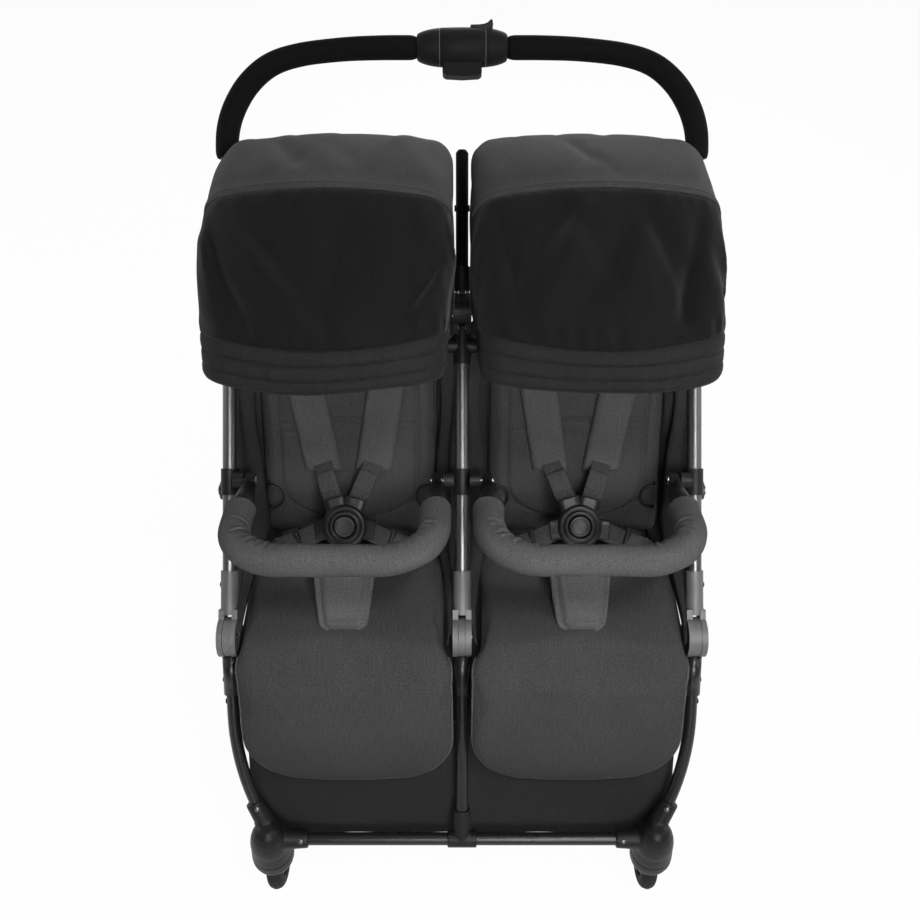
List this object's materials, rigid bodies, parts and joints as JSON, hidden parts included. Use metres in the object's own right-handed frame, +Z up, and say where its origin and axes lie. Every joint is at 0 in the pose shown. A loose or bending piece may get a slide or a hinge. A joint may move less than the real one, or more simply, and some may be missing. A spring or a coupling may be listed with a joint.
{
  "type": "side by side double stroller",
  "caption": "Folding double stroller with side by side padded seats, arched push handle, folding canopies, bumper bars, swivel front casters and an under-seat basket.",
  "frame": {"origin": "on the ground under the middle of the stroller's box", "axes": "+Z up, -Y the way the seats face, +X to the right in the picture"},
  "size_m": [0.736, 0.888, 1.077],
  "materials": {
    "aluminium_tube": "dark anodised",
    "black_plastic": "fine grain",
    "steel": "satin",
    "foam": "matt foam",
    "basket_cloth": "plain weave",
    "seat_cloth": "melange weave",
    "canopy_cloth": "twill",
    "rim_plastic": "fine grain",
    "tyre": "matt rubber"
  },
  "bodies": {
    "main_frame": {"seat_tubes": "aluminium_tube", "leg_joint_shells": "black_plastic", "upper_hinge_forks": "black_plastic", "hinge_pins": "steel", "tube_brackets": "black_plastic", "seat_rails": "black_plastic", "seat_pans": "black_plastic", "seat_pad_left": "seat_cloth", "seat_pad_right": "seat_cloth", "seat_side_panels": "basket_cloth", "canopy_rear_bows": "black_plastic", "harness_webbing": "basket_cloth", "crotch_pads": "basket_cloth", "harness_buckles": "black_plastic", "storage_basket": "basket_cloth", "canopy_fabric_left": "canopy_cloth", "canopy_fabric_right": "canopy_cloth"},
    "handle": {"handle_bar": "aluminium_tube", "centre_post": "black_plastic", "handle_grips": "foam", "handle_hubs": "black_plastic", "control_housing": "black_plastic"},
    "trigger": {"fold_trigger": "black_plastic"},
    "thumb": {"thumb_slide": "black_plastic"},
    "front_frame": {"front_legs": "aluminium_tube", "front_cross_tube": "aluminium_tube", "leg_joint_hubs": "black_plastic", "corner_housings": "black_plastic"},
    "rear_frame": {"rear_legs": "aluminium_tube", "rear_cross_tube": "aluminium_tube", "rear_axles": "steel"},
    "pedal": {"brake_pedal": "black_plastic"},
    "caster_left": {"caster_fork_left": "black_plastic"},
    "front_wheel_left": {"front_rim_left": "rim_plastic", "front_tyre_left": "tyre"},
    "rear_wheel_left": {"rear_rim_left": "rim_plastic", "rear_tyre_left": "tyre"},
    "backrest_left": {"backrest_board_left": "black_plastic", "backrest_pad_left": "seat_cloth", "shoulder_harness_left": "basket_cloth"},
    "leg_rest_left": {"leg_rest_left": "seat_cloth"},
    "middle_bow_left": {"canopy_middle_bow_left": "black_plastic"},
    "front_bow_left": {"canopy_front_bow_left": "black_plastic"},
    "bumper_left": {"bumper_bar_left": "black_plastic", "bumper_cover_left": "seat_cloth"},
    "button_left": {"buckle_button_left": "black_plastic"},
    "caster_right": {"caster_fork_right": "black_plastic"},
    "front_wheel_right": {"front_rim_right": "rim_plastic", "front_tyre_right": "tyre"},
    "rear_wheel_right": {"rear_rim_right": "rim_plastic", "rear_tyre_right": "tyre"},
    "backrest_right": {"backrest_board_right": "black_plastic", "backrest_pad_right": "seat_cloth", "shoulder_harness_right": "basket_cloth"},
    "leg_rest_right": {"leg_rest_right": "seat_cloth"},
    "middle_bow_right": {"canopy_middle_bow_right": "black_plastic"},
    "front_bow_right": {"canopy_front_bow_right": "black_plastic"},
    "bumper_right": {"bumper_bar_right": "black_plastic", "bumper_cover_right": "seat_cloth"},
    "button_right": {"buckle_button_right": "black_plastic"}
  },
  "joints": [
    {"name": "frame_fold", "type": "hinge", "parent": "main_frame", "child": "rear_frame", "pos_m": [0, -0.07254, 0.55522], "axis": [-1, 0, 0], "range_deg": [0, 75], "deforming": ["storage_basket"]},
    {"name": "front_fold", "type": "hinge", "parent": "main_frame", "child": "front_frame", "pos_m": [0, -0.24, 0.425], "axis": [1, 0, 0], "range_deg": [0, 105.01]},
    {"name": "handle_fold", "type": "hinge", "parent": "main_frame", "child": "handle", "pos_m": [0, 0.08649, 0.76309], "axis": [-1, 0, 0], "range_deg": [0, 100.01]},
    {"name": "trigger_pull", "type": "slide", "parent": "handle", "child": "trigger", "axis": [0, 0.6494, 0.7604], "range_m": [0, 0.006], "stiffness_N_per_m": 300},
    {"name": "thumb_slide_move", "type": "slide", "parent": "handle", "child": "thumb", "axis": [-1, 0, 0], "range_m": [0, 0.008], "stiffness_N_per_m": 200},
    {"name": "brake_press", "type": "hinge", "parent": "rear_frame", "child": "pedal", "pos_m": [0, 0.30716, 0.17994], "axis": [-1, 0, 0], "range_deg": [0, 20], "stiffness_Nm_per_rad": 2},
    {"name": "caster_swivel_left", "type": "hinge", "parent": "front_frame", "child": "caster_left", "pos_m": [-0.291, -0.412, 0.13], "axis": [0, 0, 1], "continuous": true},
    {"name": "front_wheel_spin_left", "type": "hinge", "parent": "caster_left", "child": "front_wheel_left", "pos_m": [-0.291, -0.388, 0.056], "axis": [1, 0, 0], "continuous": true},
    {"name": "rear_wheel_spin_left", "type": "hinge", "parent": "rear_frame", "child": "rear_wheel_left", "pos_m": [-0.323, 0.359, 0.085], "axis": [1, 0, 0], "continuous": true},
    {"name": "recline_left", "type": "hinge", "parent": "main_frame", "child": "backrest_left", "pos_m": [-0.1675, -0.07, 0.425], "axis": [1, 0, 0], "range_deg": [-45, 0]},
    {"name": "leg_rest_lift_left", "type": "hinge", "parent": "main_frame", "child": "leg_rest_left", "pos_m": [-0.1675, -0.303, 0.413], "axis": [1, 0, 0], "range_deg": [-70, 0]},
    {"name": "canopy_left", "type": "hinge", "parent": "main_frame", "child": "front_bow_left", "pos_m": [-0.1675, 0.05106, 0.7264], "axis": [-1, 0, 0], "range_deg": [0, 86], "deforming": ["canopy_fabric_left"]},
    {"name": "canopy_middle_left", "type": "hinge", "parent": "main_frame", "child": "middle_bow_left", "pos_m": [-0.1675, 0.05106, 0.7264], "axis": [-1, 0, 0], "range_deg": [0, 43]},
    {"name": "bumper_lift_left", "type": "hinge", "parent": "main_frame", "child": "bumper_left", "pos_m": [-0.1675, -0.10027, 0.60424], "axis": [-1, 0, 0], "range_deg": [0, 45]},
    {"name": "button_press_left", "type": "slide", "parent": "main_frame", "child": "button_left", "axis": [0, 0.7071, -0.7071], "range_m": [0, 0.003], "stiffness_N_per_m": 400},
    {"name": "caster_swivel_right", "type": "hinge", "parent": "front_frame", "child": "caster_right", "pos_m": [0.291, -0.412, 0.13], "axis": [0, 0, 1], "continuous": true},
    {"name": "front_wheel_spin_right", "type": "hinge", "parent": "caster_right", "child": "front_wheel_right", "pos_m": [0.291, -0.388, 0.056], "axis": [1, 0, 0], "continuous": true},
    {"name": "rear_wheel_spin_right", "type": "hinge", "parent": "rear_frame", "child": "rear_wheel_right", "pos_m": [0.323, 0.359, 0.085], "axis": [1, 0, 0], "continuous": true},
    {"name": "recline_right", "type": "hinge", "parent": "main_frame", "child": "backrest_right", "pos_m": [0.1675, -0.07, 0.425], "axis": [1, 0, 0], "range_deg": [-45, 0]},
    {"name": "leg_rest_lift_right", "type": "hinge", "parent": "main_frame", "child": "leg_rest_right", "pos_m": [0.1675, -0.303, 0.413], "axis": [1, 0, 0], "range_deg": [-70, 0]},
    {"name": "canopy_right", "type": "hinge", "parent": "main_frame", "child": "front_bow_right", "pos_m": [0.1675, 0.05106, 0.7264], "axis": [-1, 0, 0], "range_deg": [0, 86], "deforming": ["canopy_fabric_right"]},
    {"name": "canopy_middle_right", "type": "hinge", "parent": "main_frame", "child": "middle_bow_right", "pos_m": [0.1675, 0.05106, 0.7264], "axis": [-1, 0, 0], "range_deg": [0, 43]},
    {"name": "bumper_lift_right", "type": "hinge", "parent": "main_frame", "child": "bumper_right", "pos_m": [0.1675, -0.10027, 0.60424], "axis": [-1, 0, 0], "range_deg": [0, 45]},
    {"name": "button_press_right", "type": "slide", "parent": "main_frame", "child": "button_right", "axis": [0, 0.7071, -0.7071], "range_m": [0, 0.003], "stiffness_N_per_m": 400}
  ],
  "couplings": [
    {"joint": "front_fold", "follows": "frame_fold", "ratio": 1.4},
    {"joint": "handle_fold", "follows": "frame_fold", "ratio": 1.3333},
    {"joint": "canopy_middle_left", "follows": "canopy_left", "ratio": 0.49419},
    {"joint": "canopy_middle_right", "follows": "canopy_right", "ratio": 0.49419}
  ]
}
